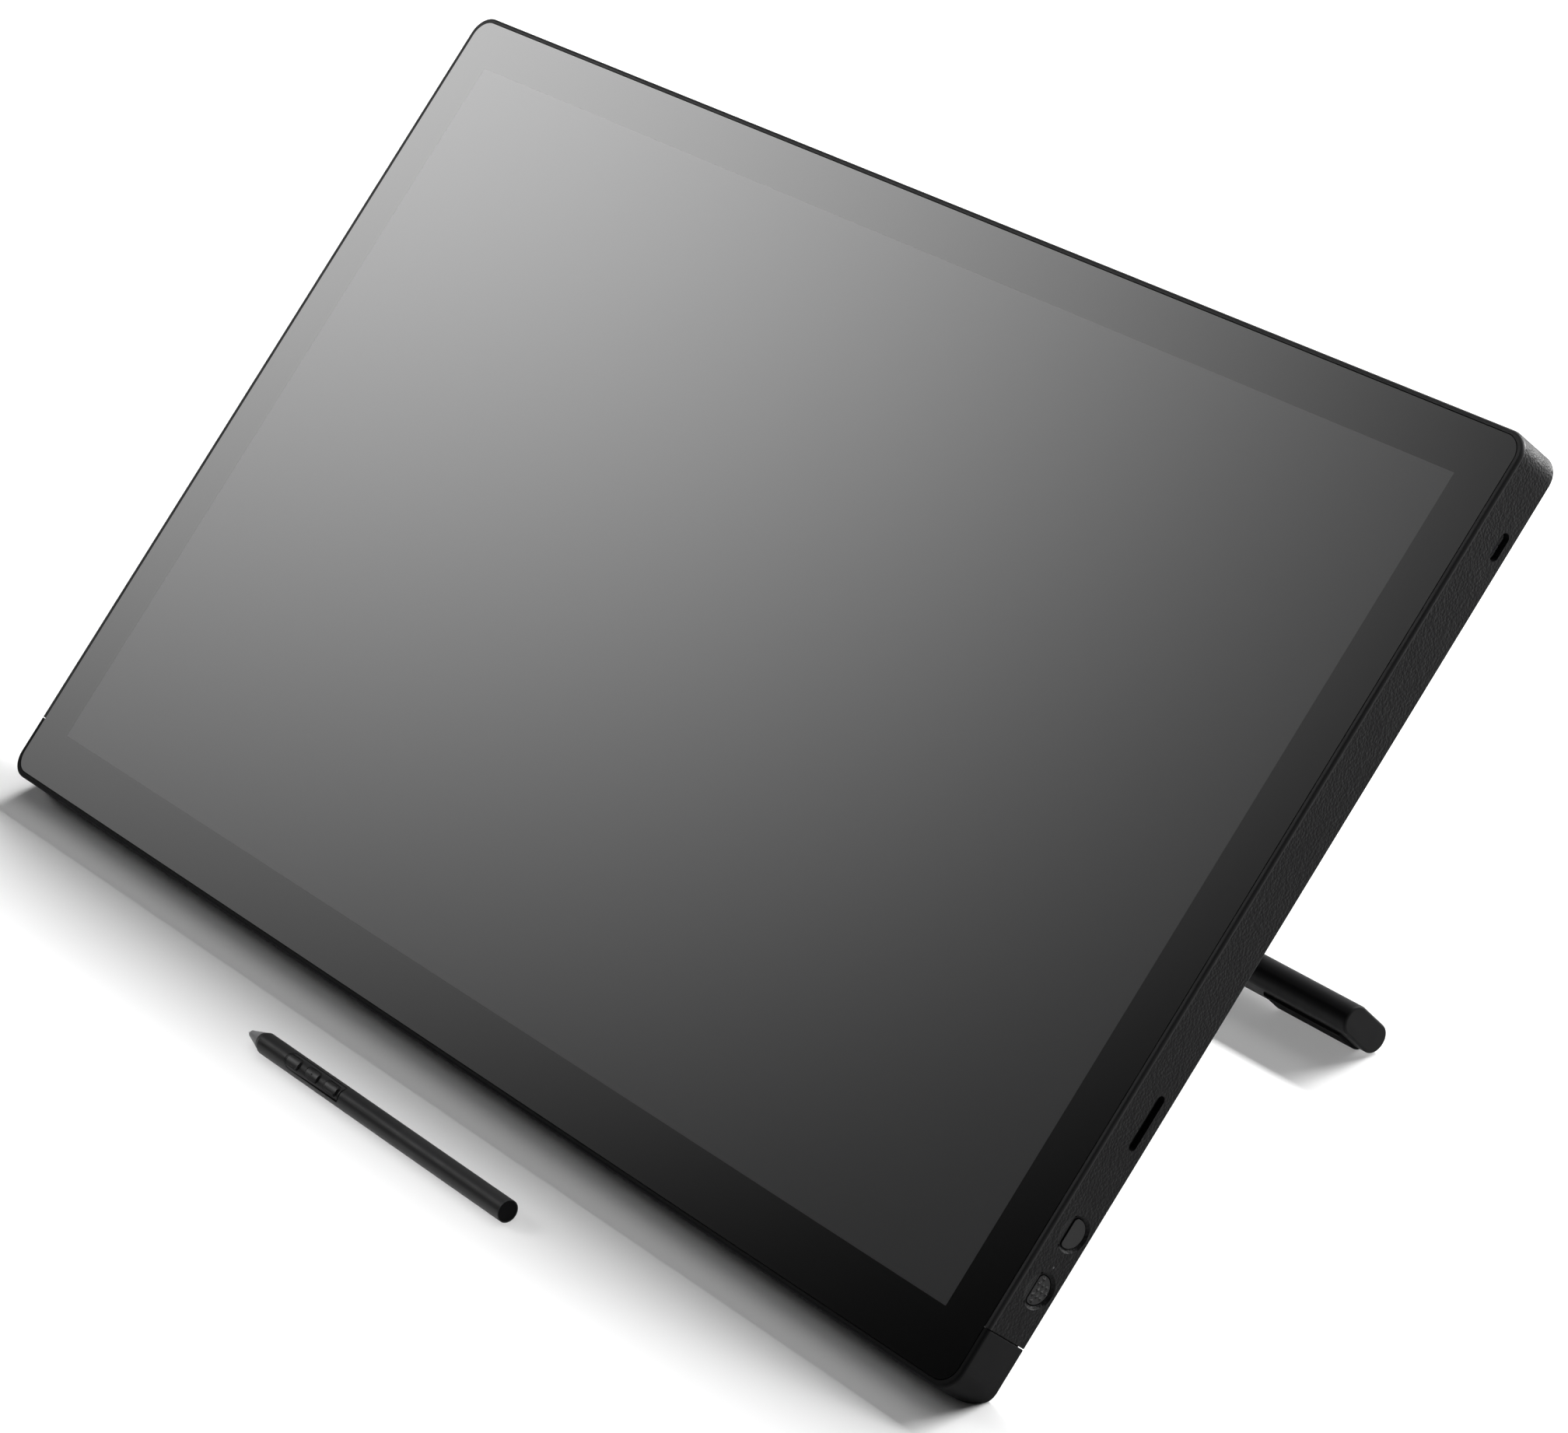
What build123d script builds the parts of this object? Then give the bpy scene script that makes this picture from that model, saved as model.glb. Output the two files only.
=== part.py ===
from build123d import *
from math import asin, atan2, cos, degrees, hypot, radians, sin
import os

# 23.8 inch pen display on a fold-out rear stand, with its pen lying in front of it.
#
# All the display's pieces are drawn in the display's own frame, in millimetres: x to the right along
# the screen, y up the screen and z out of the glass, with the origin at the centre of the lit area on
# the panel's front face. The stand is drawn folded flat, then swung out about its pivot. The display
# is tilted last, so that its bottom rail and the stand's foot pads rest on the table at z = 0.
# The pen is drawn with its nib tip at the origin, pointing to -x, and then laid on the table.

# ---- display: outline ----
ACTIVE_W = 527.04
ACTIVE_H = 296.46
PANEL_EDGE = 2.5
GLASS_HALF_W = 281.0
GLASS_BOTTOM = -168.2
GLASS_TOP = 165.6
GLASS_T = 0.8
GLASS_R = 6.8
HALF_W = 283.4
BODY_BOTTOM = -170.4
BODY_TOP = 167.6
BODY_R = 8.3
REAR_Z = -17.5
RIM_GAP = 0.3
RIM_ROUND = 1.1
RIM_SEAM_Z = -0.4
REAR_EDGE_R = 0.6

# ---- seam between the rear housing and the bottom rail ----
SEAM_Y = -147.2
SEAM_GAP = 0.3
SEAM_DEPTH = 1.5
SEAM_ROUND = 0.3
RAIL_R = 7.5

# ---- wall thicknesses and the stack behind the glass ----
SIDE_WALL = 2.4
BACK_WALL = 2.2
TUB_WALL = 1.4
LEDGE_TOP = -0.2
LEDGE_BOTTOM = -2.4
LEDGE_IN = 12.6
PANEL_BACK = -1.6
BACKLIGHT_BACK = -5.0
SENSOR_BACK = -5.8
CHASSIS_FRONT = -5.9
CHASSIS_BACK = -6.9
FLOOR_FRONT = -7.0
FLOOR_BACK = -8.4

# ---- stand ----
PIVOT_Y = 10.5
PIVOT_Z = -15.1
LEG = 141.4
REST_OPEN = 85.0
FOOT_HALF = 217.0
FOOT_DEEP = 23.0
FOOT_THICK = 10.8
FOOT_R = 5.2
FOOT_WALL = 1.6
ARM_X = 96.0
ARM_W = 34.0
ARM_T = 9.0
ARM_SHOULDER = 9.5
KNUCKLE_W = 19.6
KNUCKLE_R = 5.8
EAR_GAP = 0.4
EAR_T = 6.6
SHAFT_R = 3.0
EAR_BORE_R = 3.05
PAD_LONG = 38.0
PAD_FROM_END = 6.0
PAD_PROUD = 1.0
POCKET_GAP = 2.5
ARM_SCREW_R = 1.65
ARM_SCREW_HEAD_R = 2.9
ARM_SCREW_SEAT = FOOT_DEEP / 2 - FOOT_WALL

# ---- right-hand side controls and ports: y and z on the wall ----
FUNCTION_Y = -129.6
POWER_Y = -109.8
BUTTON_Z = -9.55
LED_Y = -121.4
LED_R = 0.35
DISH_R = 6.25
BUTTON_R = 4.95
BUTTON_FLAT_Z = -7.2
BUTTON_CORNER_R = 1.5
BUTTON_GAP = 0.25
BUTTON_TRAVEL = 0.4
DISH_DEPTH = 0.85
FUNCTION_FACE = 0.75
POWER_FACE = 0.45
SIDE_BOARD_X = (275.6, 276.6)
BUTTON_STEM_X = 277.8
KNURL_SIDE = 1.36
KNURL_HEIGHT = 0.6
KNURL_COLUMN = 1.9
KNURL_ROW = 2.0
SLOT_Y = (-79.5, -60.3)
SLOT_Z = (-13.24, -9.94)
USB_Y = 135.04
USB_Z = -12.24
USB_W = 9.7
USB_H = 3.84
USB_R = 1.8
USB_INSET = 2.1

# ---- vents across the top of the back ----
VENT_Y = 128.0
VENT_L = 16.0
VENT_W = 2.4
VENT_START = 70.0
VENT_PITCH = 6.0
VENT_COUNT = 26

# ---- rear mounting pattern: four M4 inserts on a 100 mm square ----
VESA = 100.0
VESA_BORE_R = 2.0
VESA_DEPTH = 8.0
INSERT_R = 3.6

# ---- pen ----
PEN_L = 157.4
PEN_R = 4.0
CONE_START = 1.4
CONE_END = 9.1
CONE_END_R = 3.3
TAPER_END = 11.2
PEN_BORE_R = 2.6
PEN_SEAM = 96.5
PANEL_START = 28.0
PANEL_END = 62.0
PANEL_HALF = 3.05
PANEL_FLOOR_R = 2.9
PANEL_R = (3.92, 3.35)
PANEL_GAP = 0.18
PANEL_TRENCH = 1.3
SWITCH_STATIONS = (32.6, 44.1, 55.6)
SWITCH_L = 7.4
SWITCH_W = 3.8
SWITCH_PROUD = 0.65
SWITCH_GAP = 0.2
SWITCH_TAIL_GAP = 0.3
SWITCH_CORNER_R = 1.3
SWITCH_FOOT = 1.9
PEN_TIP_X = -60.4
PEN_AHEAD = 45.9
PEN_ROLL = 35.0


def block(x0, x1, y0, y1, z0, z1):
    """A box between two corners."""
    return Pos((x0 + x1) / 2, (y0 + y1) / 2, (z0 + z1) / 2) * Box(x1 - x0, y1 - y0, z1 - z0)


def slab(x0, x1, y0, y1, z0, z1, radius):
    """A plate with rounded corners in plan."""
    outline = Pos((x0 + x1) / 2, (y0 + y1) / 2, z0) * RectangleRounded(x1 - x0, y1 - y0, radius)
    return extrude(outline, amount=z1 - z0, dir=(0, 0, 1))


def post(x, y, z0, z1, radius):
    """A round post or hole along z."""
    return Pos(x, y, (z0 + z1) / 2) * Cylinder(radius, z1 - z0)


def rod(x0, x1, y, z, radius):
    """A round bar or hole along x."""
    return Pos((x0 + x1) / 2, y, z) * Rot(0, 90, 0) * Cylinder(radius, x1 - x0)


def wall_shape(sketch, x0, x1, y, z):
    """A sketch drawn with its x along +y and its y along +z, extruded along +x."""
    plane = Plane(origin=(x0, y, z), x_dir=(0, 1, 0), z_dir=(1, 0, 0))
    return extrude(plane * sketch, amount=x1 - x0)


def fused(pieces):
    """One shape from a list of pieces that touch or overlap."""
    first, *rest = pieces
    return first.fuse(*rest) if rest else first


def group(pieces):
    """Separate solids kept together in one node."""
    return Compound(children=list(pieces))


def mirrored(shape):
    """The same piece on the other side of the display."""
    return mirror(shape, about=Plane.YZ)


# ---- display: cover glass, panel stack and chassis ----
def full_body():
    """The display's whole outer volume, behind the rim seam."""
    body = slab(-HALF_W, HALF_W, BODY_BOTTOM, BODY_TOP, REAR_Z, RIM_SEAM_Z, BODY_R)
    return fillet(body.faces().sort_by(Axis.Z)[0].edges(), REAR_EDGE_R)


def rim_ring():
    """The smooth rim around the glass, before it is split at the rail seam."""
    ring = slab(-HALF_W, HALF_W, BODY_BOTTOM, BODY_TOP, RIM_SEAM_Z, GLASS_T, BODY_R)
    ring = fillet(ring.faces().sort_by(Axis.Z)[-1].edges(), RIM_ROUND)
    grow = RIM_GAP
    hole = slab(
        -GLASS_HALF_W - grow,
        GLASS_HALF_W + grow,
        GLASS_BOTTOM - grow,
        GLASS_TOP + grow,
        RIM_SEAM_Z - 1,
        GLASS_T + 1,
        GLASS_R + grow,
    )
    return ring - hole


def above_seam():
    """Everything above the seam, used to split the outer skin."""
    return block(-300, 300, SEAM_Y + SEAM_GAP / 2, 200, -40, 20)


def below_seam():
    return block(-300, 300, -200, SEAM_Y - SEAM_GAP / 2, -40, 20)


POST_PLACES = [(274.4, 152), (274.4, 20), (274.4, -92), (150, 159)]
FRAME_POSTS = [(side * x, y) for side in (-1, 1) for x, y in POST_PLACES]


def front_frame():
    """Rim on three sides, with a ledge behind the glass and screw posts."""
    ledge = slab(
        -GLASS_HALF_W, GLASS_HALF_W, GLASS_BOTTOM + 1.2, BODY_TOP - 2.5, LEDGE_BOTTOM, LEDGE_TOP, GLASS_R
    )
    ledge -= block(
        -GLASS_HALF_W + LEDGE_IN,
        GLASS_HALF_W - LEDGE_IN,
        GLASS_BOTTOM + LEDGE_IN,
        GLASS_TOP - 11,
        -5,
        5,
    )
    rim = rim_ring() & above_seam()
    edge = HALF_W - 0.8
    web = slab(-edge, edge, SEAM_Y + 0.4, BODY_TOP - 0.8, RIM_SEAM_Z, LEDGE_TOP, BODY_R - 0.8)
    web -= block(-GLASS_HALF_W + 4, GLASS_HALF_W - 4, -200, BODY_TOP - 6, -5, 5)
    posts = [post(x, y, -13.0, LEDGE_BOTTOM, 3.0) for x, y in FRAME_POSTS]
    frame = fused([ledge, rim, web] + posts)
    for x, y in FRAME_POSTS:
        frame -= post(x, y, -13.5, -5.0, 1.1)
    return frame


def lcd_panel():
    """The panel: the lit area with a narrow edge round it."""
    half_w = ACTIVE_W / 2 + PANEL_EDGE
    half_h = ACTIVE_H / 2 + PANEL_EDGE
    return block(-half_w, half_w, -half_h, half_h, PANEL_BACK, 0)


def glass_gasket():
    """Foam tape that holds the glass to the frame's ledge."""
    outer = slab(
        -GLASS_HALF_W + 1.2,
        GLASS_HALF_W - 1.2,
        GLASS_BOTTOM + 2.4,
        GLASS_TOP - 1.2,
        LEDGE_TOP,
        0,
        GLASS_R - 1.2,
    )
    return outer - block(
        -GLASS_HALF_W + 7.2, GLASS_HALF_W - 7.2, GLASS_BOTTOM + 8.4, GLASS_TOP - 7.2, -5, 5
    )


def chassis_plate():
    """Pressed plate that carries the panel, the boards and the hinges."""
    plate = slab(-268, 268, -154.5, 153.5, CHASSIS_BACK, CHASSIS_FRONT, 3)
    lightening = [(side * x, y) for side in (-1, 1) for x in (45, 150, 235) for y in (-85, 75)]
    for x, y in lightening:
        plate -= slab(x - 22, x + 22, y - 26, y + 26, -10, 0, 6)
    for x, y in hinge_screw_places():
        plate -= post(x, y, -10, 0, 1.5)
    return plate


# ---- stand: places shared by the housing and the stand ----
def hinge_screw_places():
    return [(side * (ARM_X + dx), y) for side in (-1, 1) for dx in (-14, 14) for y in (22.5, 33.5)]


def stand_pockets(grow, z0, z1):
    """The recesses that the folded stand lies in, grown sideways by a wall thickness."""
    foot_y = PIVOT_Y - LEG
    foot = slab(
        -FOOT_HALF - POCKET_GAP - grow,
        FOOT_HALF + POCKET_GAP + grow,
        foot_y - FOOT_DEEP / 2 - 2.4 - grow,
        foot_y + FOOT_DEEP / 2 + 1.0 + grow,
        z0,
        z1,
        3 + grow,
    )
    pockets = [foot]
    for side in (-1, 1):
        centre = side * ARM_X
        arm = (ARM_W / 2) + 1.0 + grow
        hinge = (ARM_W / 2) + 3.0 + grow
        pockets.append(block(centre - arm, centre + arm, foot_y, 20, z0, z1))
        pockets.append(slab(centre - hinge, centre + hinge, -6 - grow, 40 + grow, z0, z1, 3 + grow))
    return fused(pockets)


# ---- display: rear housing ----
def vent_slots():
    """Two rows of upright slots across the top of the back."""
    slot = extrude(SlotOverall(VENT_L, VENT_W, rotation=90), amount=4, both=True)
    places = [side * (VENT_START + VENT_PITCH * step) for side in (-1, 1) for step in range(VENT_COUNT)]
    return [Pos(x, VENT_Y, REAR_Z + 1) * slot for x in places]


def dish(y):
    """The dished finger recess round a side button, with a ramp down to the button's flat."""
    outer = HALF_W
    floor = outer - DISH_DEPTH
    flat = BUTTON_FLAT_Z + BUTTON_GAP
    cone = Rot(0, 90, 0) * Cone(BUTTON_R + BUTTON_GAP + 0.1, DISH_R, DISH_DEPTH)
    cone = Pos(outer - DISH_DEPTH / 2, y, BUTTON_Z) * cone
    cone &= block(outer - 2, outer + 1, y - 8, y + 8, BUTTON_Z - 8, flat)
    ramp_profile = Plane.XZ * make_face(
        Polyline(
            (outer + 0.5, BUTTON_Z + DISH_R),
            (outer, BUTTON_Z + DISH_R),
            (floor, flat),
            (outer + 0.5, flat),
            close=True,
        )
    )
    ramp = Pos(0, y, 0) * extrude(ramp_profile, amount=8, both=True)
    ramp &= rod(outer - 3, outer + 2, y, BUTTON_Z, DISH_R)
    return cone + ramp


def button_outline(radius, flat_z):
    """A round outline cut off flat towards the screen; drawn about the button's centre."""
    outline = Circle(radius) & Pos(0, flat_z - BUTTON_Z - radius) * Rectangle(4 * radius, 2 * radius)
    return fillet(outline.vertices(), BUTTON_CORNER_R)


def edge_profile(inset):
    """Side view of the bottom edge: square in front and well rounded behind, drawn inset all round."""
    low = BODY_BOTTOM + inset
    back = REAR_Z + inset
    corners = [(low, back), (SEAM_Y + 5, back), (SEAM_Y + 5, RIM_SEAM_Z), (low, RIM_SEAM_Z)]
    profile = Plane.YZ * make_face(Polyline(*corners, close=True))
    corner = profile.vertices().group_by(Axis.Y)[0].sort_by(Axis.Z)[0]
    return extrude(fillet(corner, RAIL_R - inset), amount=HALF_W + 5, both=True)


def tub():
    """The housing's lower part, which the rail wraps round."""
    deep = SEAM_DEPTH
    solid = slab(
        -HALF_W + deep,
        HALF_W - deep,
        BODY_BOTTOM + deep,
        SEAM_Y + 30,
        REAR_Z + deep,
        LEDGE_BOTTOM - 0.1,
        BODY_R - deep,
    )
    return solid & edge_profile(deep)


def rear_housing():
    """Textured rear shell with the stand's recesses, vents and side openings."""
    skin = full_body() & above_seam()
    seam_edges = skin.faces().sort_by(Axis.Y)[0].outer_wire().edges()
    outer_seam = [e for e in seam_edges if e.center().Z < RIM_SEAM_Z - 0.01]
    skin = fillet(outer_seam, SEAM_ROUND)
    cavity = slab(
        -HALF_W + SIDE_WALL,
        HALF_W - SIDE_WALL,
        BODY_BOTTOM,
        BODY_TOP - SIDE_WALL,
        REAR_Z + BACK_WALL,
        5,
        BODY_R - SIDE_WALL,
    )
    skin -= cavity & block(-300, 300, SEAM_Y + 2.7, 200, -40, 20)
    shell = skin.fuse(tub() & block(-300, 300, -200, SEAM_Y + 2.7, -40, 20))
    shell -= slab(
        -HALF_W + SEAM_DEPTH + TUB_WALL,
        HALF_W - SEAM_DEPTH - TUB_WALL,
        BODY_BOTTOM + SEAM_DEPTH + 4.0,
        SEAM_Y + 30,
        REAR_Z + SEAM_DEPTH + TUB_WALL,
        5,
        3,
    )
    shell -= block(-GLASS_HALF_W - 0.05, GLASS_HALF_W + 0.05, -200, SEAM_Y + 3, LEDGE_BOTTOM - 0.1, 5)
    shell = shell.fuse(stand_pockets(1.2, REAR_Z + 0.4, FLOOR_FRONT) & above_seam())
    shell -= stand_pockets(0, REAR_Z - 2, FLOOR_BACK)
    cuts = [dish(FUNCTION_Y), dish(POWER_Y)]
    hole = button_outline(BUTTON_R + BUTTON_GAP, BUTTON_FLAT_Z + BUTTON_GAP)
    cuts += [wall_shape(hole, HALF_W - 4, HALF_W + 1, y, BUTTON_Z) for y in (FUNCTION_Y, POWER_Y)]
    cuts.append(rod(HALF_W - 4, HALF_W + 1, LED_Y, BUTTON_Z, LED_R + 0.02))
    slot = SlotOverall(SLOT_Y[1] - SLOT_Y[0], SLOT_Z[1] - SLOT_Z[0])
    cuts.append(wall_shape(slot, HALF_W - 4, HALF_W + 1, sum(SLOT_Y) / 2, sum(SLOT_Z) / 2))
    port = RectangleRounded(USB_W, USB_H, USB_R)
    cuts.append(wall_shape(port, HALF_W - 4, HALF_W + 1, USB_Y, USB_Z))
    cuts += vent_slots()
    for x, y in hinge_screw_places():
        cuts.append(post(x, y, FLOOR_BACK - 1, FLOOR_FRONT + 1, 1.6))
    for x, y in vesa_places():
        cuts.append(post(x, y, REAR_Z - 1, REAR_Z + BACK_WALL + 1, INSERT_R + 0.05))
    for x, y in FRAME_POSTS:
        cuts.append(post(x, y, REAR_Z - 1, REAR_Z + 5, 1.4))
        cuts.append(post(x, y, REAR_Z - 1, REAR_Z + 1.3, 2.7))
    return shell.cut(*cuts)


def vesa_places():
    half = VESA / 2
    return [(x, y) for x in (-half, half) for y in (-half, half)]


# ---- display: bottom rail ----
def bottom_rail():
    """Soft-edged rail round the bottom edge and both lower corners; the display stands on it."""
    rail = full_body() & edge_profile(0) & below_seam()
    seam_edges = rail.faces().sort_by(Axis.Y)[-1].outer_wire().edges()
    rail = fillet([e for e in seam_edges if e.center().Z < RIM_SEAM_Z - 0.01], SEAM_ROUND)
    rail = rail.fuse(rim_ring() & below_seam())
    rail -= tub()
    rail -= slab(
        -GLASS_HALF_W - 0.1,
        GLASS_HALF_W + 0.1,
        GLASS_BOTTOM + 1.1,
        BODY_TOP,
        LEDGE_BOTTOM - 0.2,
        RIM_SEAM_Z + 0.3,
        GLASS_R,
    )
    return rail


# ---- display: side controls ----
def knurl(y, z):
    """Small pyramids, corner to corner in staggered columns, over the textured button's face."""
    pyramid = extrude(Rectangle(KNURL_SIDE, KNURL_SIDE, rotation=45), amount=KNURL_HEIGHT, taper=45)
    face = HALF_W - FUNCTION_FACE
    bumps = []
    for column in range(-2, 3):
        shift = KNURL_ROW / 2 if column % 2 else 0.0
        for row in range(-3, 3):
            dy = column * KNURL_COLUMN
            dz = row * KNURL_ROW + shift
            inside = hypot(dy, dz) < BUTTON_R - 0.75 and dz < BUTTON_FLAT_Z - BUTTON_Z - 0.7
            if inside:
                bumps.append(Pos(face - 0.02, y + dy, z + dz) * Rot(0, 90, 0) * pyramid)
    return bumps


def side_button(y, face_depth):
    """Push button with a retaining flange and a stem that works a small switch."""
    outline = button_outline(BUTTON_R, BUTTON_FLAT_Z)
    cap = wall_shape(outline, HALF_W - 3.2, HALF_W - face_depth, y, BUTTON_Z)
    cap = fillet(cap.faces().sort_by(Axis.X)[-1].edges(), 0.25)
    flange = Circle(BUTTON_R + 0.9)
    flange = wall_shape(flange, HALF_W - 4.0, HALF_W - SIDE_WALL - 0.02, y, BUTTON_Z)
    flange &= block(HALF_W - 5, HALF_W, y - 8, y + 8, REAR_Z + BACK_WALL + 0.2, 0)
    stem = rod(BUTTON_STEM_X, HALF_W - 3.9, y, BUTTON_Z, 1.2)
    return fused([cap, flange, stem])


def function_button():
    return fused([side_button(FUNCTION_Y, FUNCTION_FACE)] + knurl(FUNCTION_Y, BUTTON_Z))


def button_board():
    """Small upright board behind the side buttons."""
    return block(*SIDE_BOARD_X, -138, -102, -15.0, -3.6)


def side_switches():
    """Low tact switches behind the two buttons, and the status light's chip."""
    face = SIDE_BOARD_X[1]
    top = BUTTON_STEM_X - BUTTON_TRAVEL - 0.05
    pieces = [
        block(face, top, y - 2, y + 2, BUTTON_Z - 2, BUTTON_Z + 2) for y in (FUNCTION_Y, POWER_Y)
    ]
    pieces.append(block(face, top, LED_Y - 0.8, LED_Y + 0.8, BUTTON_Z - 0.5, BUTTON_Z + 0.5))
    return group(pieces)


def accessory_socket():
    """Blind socket behind the slot in the right side, for a clip-on pen holder."""
    y0, y1 = SLOT_Y
    z0, z1 = SLOT_Z
    inner = HALF_W - SIDE_WALL
    box = block(inner - 13, inner, y0 - 1.4, y1 + 1.4, z0 - 1.2, z1 + 1.2)
    slot = SlotOverall(y1 - y0, z1 - z0)
    return box - wall_shape(slot, inner - 11.6, inner + 1, (y0 + y1) / 2, (z0 + z1) / 2)


def usb_c_port():
    """Receptacle: drawn metal shell with a contact tongue."""
    front = HALF_W - USB_INSET
    shell = wall_shape(RectangleRounded(8.94, 3.16, 1.55), front - 8.0, front, USB_Y, USB_Z)
    shell -= wall_shape(RectangleRounded(8.34, 2.56, 1.25), front - 6.6, front + 1, USB_Y, USB_Z)
    tongue = block(front - 7.0, front - 0.9, USB_Y - 3.34, USB_Y + 3.34, USB_Z - 0.35, USB_Z + 0.35)
    return shell + tongue


def port_bezel():
    """Plastic surround between the wall and the receptacle."""
    inner = HALF_W - SIDE_WALL
    ring = wall_shape(RectangleRounded(12.4, 5.6, 2.7), inner - 1.6, inner, USB_Y, USB_Z)
    return ring - wall_shape(RectangleRounded(8.98, 3.20, 1.57), inner - 3, inner + 1, USB_Y, USB_Z)


# ---- display: boards ----
BOARD_Z = (-10.6, -9.2)
CHIPS = [
    (215, 120, 14, 14, 1.2),
    (240, 128, 9, 9, 1.0),
    (190, 128, 11, 7, 1.0),
    (190, 112, 11, 7, 1.0),
    (165, 120, 8, 8, 1.1),
    (257, 110, 6, 6, 1.0),
    (148, 134, 6, 4, 0.9),
    (148, 108, 7, 5, 0.9),
]


BOARD_SCREWS = [(139, 103), (139, 138), (208, 103), (262, 103)]


def main_board():
    board = slab(135, 279.2, 99, 142, *BOARD_Z, 1.5)
    for x, y in BOARD_SCREWS:
        board -= post(x, y, -12, -8, 1.35)
    return board


def board_chips():
    low = BOARD_Z[0]
    return group(
        block(x - w / 2, x + w / 2, y - d / 2, y + d / 2, low - h, low) for x, y, w, d, h in CHIPS
    )


def shield_can():
    """Thin tinned lid over the processor group."""
    can = block(181, 250, 106, 137, -13.2, BOARD_Z[0])
    return can - block(181.4, 249.6, 106.4, 136.6, -12.9, BOARD_Z[0] + 1)


def heat_spreader():
    """Finned plate on the shield can, facing the vents."""
    plate = block(172, 256, 104, 140, -14.0, -13.2)
    fins = [block(174 + 5 * k, 175 + 5 * k, 106, 138, -15.0, -13.9) for k in range(17)]
    return fused([plate] + fins)


def board_standoffs():
    return group(
        post(x, y, BOARD_Z[1], CHASSIS_BACK, 2.4) - post(x, y, BOARD_Z[1] - 1, CHASSIS_BACK - 0.4, 1.1)
        for x, y in BOARD_SCREWS
    )


def board_screws():
    low = BOARD_Z[0]
    return group(
        post(x, y, low - 1.2, low, 2.2) + post(x, y, low - 0.1, CHASSIS_BACK - 0.6, 1.05)
        for x, y in BOARD_SCREWS
    )


def driver_board():
    """Long thin panel driver board below the boards' level, along the top edge."""
    return slab(-130, 130, 96, 116, -8.6, -7.4, 1)


def driver_standoffs():
    return group(post(x, 106, -7.4, CHASSIS_BACK, 2.5) for x in (-120, 0, 120))


def panel_cable():
    """Flat cable from the main board to the driver board."""
    run = block(126, 140, 118, 124, -8.7, -8.5)
    drop = block(139.8, 140, 118, 124, -9.2, -8.5)
    low = block(112, 126.2, 118, 124, -8.7, -8.5)
    reach = block(112, 122, 114, 118.2, -8.7, -8.6)
    return fused([run, drop, low, reach])


# ---- display: rear mounting inserts ----
def vesa_plate():
    """Steel plate that ties the four threaded inserts to the chassis."""
    plate = slab(-60, 60, -60, 60, REAR_Z + BACK_WALL, REAR_Z + BACK_WALL + 1.5, 6)
    plate -= slab(-32, 32, -60 + 26, 60 - 26, -40, 0, 6)
    for x, y in vesa_places():
        plate -= post(x, y, -40, 0, INSERT_R + 0.05)
    return plate


def vesa_inserts():
    top = REAR_Z + VESA_DEPTH
    return group(
        post(x, y, REAR_Z, top + 1.5, INSERT_R) - post(x, y, REAR_Z - 1, top, VESA_BORE_R)
        for x, y in vesa_places()
    )


def housing_screws():
    return group(
        post(x, y, REAR_Z + 0.3, REAR_Z + 1.3, 2.5)
        - post(x, y, REAR_Z, REAR_Z + 0.9, 1.0)
        + post(x, y, REAR_Z + 1.2, -5.6, 1.05)
        for x, y in FRAME_POSTS
    )


def rear_feet():
    """Rubber strips that carry the top of the display when it lies flat."""
    strips = []
    for side in (-1, 1):
        strip = slab(side * 215 - 30, side * 215 + 30, 147, 157, REAR_Z - 3.0, REAR_Z, 4.5)
        strips.append(fillet(strip.faces().sort_by(Axis.Z)[0].edges(), 1.0))
    return group(strips)


# ---- stand: drawn folded, on the right-hand side first ----
def ear_profile():
    """Side view of a hinge ear: a round eye on a web that runs back to the base."""
    eye = Pos(PIVOT_Y, PIVOT_Z) * Circle(KNUCKLE_R)
    web = make_face(
        Polyline(
            (PIVOT_Y - 0.5, PIVOT_Z + 5.0),
            (PIVOT_Y + 5.4, PIVOT_Z - 2.0),
            (24.0, -11.8),
            (38.0, FLOOR_BACK - 2.0),
            (38.0, FLOOR_BACK),
            (PIVOT_Y + 1.0, FLOOR_BACK),
            close=True,
        )
    )
    return eye + web


def hinge_bracket():
    """Steel bracket: a base plate with two ears that carry the shaft."""
    half = KNUCKLE_W / 2 + EAR_GAP
    reach = half + EAR_T
    pieces = [block(ARM_X - reach, ARM_X + reach, 17.5, 38.0, FLOOR_BACK - 2.0, FLOOR_BACK)]
    for x0 in (ARM_X + half, ARM_X - reach):
        plane = Plane(origin=(x0, 0, 0), x_dir=(0, 1, 0), z_dir=(1, 0, 0))
        pieces.append(extrude(plane * ear_profile(), amount=EAR_T))
    bracket = fused(pieces)
    bracket -= rod(ARM_X - 30, ARM_X + 30, PIVOT_Y, PIVOT_Z, EAR_BORE_R)
    for x, y in hinge_screw_places():
        bracket -= post(x, y, -20, 0, 1.6)
        bracket -= post(x, y, -40, FLOOR_BACK - 1.99, 3.0)
    return bracket


def hinge_cover():
    """Cover over the bracket's base, flush with the back."""
    x0, x1 = ARM_X - ARM_W / 2 - 2.8, ARM_X + ARM_W / 2 + 2.8
    cover = slab(x0, x1, 26.0, 39.8, REAR_Z, REAR_Z + 1.6, 2.5)
    legs = [block(x, x + 1.2, 28, 37, REAR_Z + 1.5, FLOOR_BACK) for x in (x0 + 0.4, x1 - 1.6)]
    return fused([cover] + legs)


def hinge_shaft():
    """Steel shaft, pressed into the arm, that turns in the bracket's ears."""
    half = KNUCKLE_W / 2 + EAR_GAP + EAR_T
    return rod(ARM_X - half - 0.6, ARM_X + half + 0.6, PIVOT_Y, PIVOT_Z, SHAFT_R)


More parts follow.
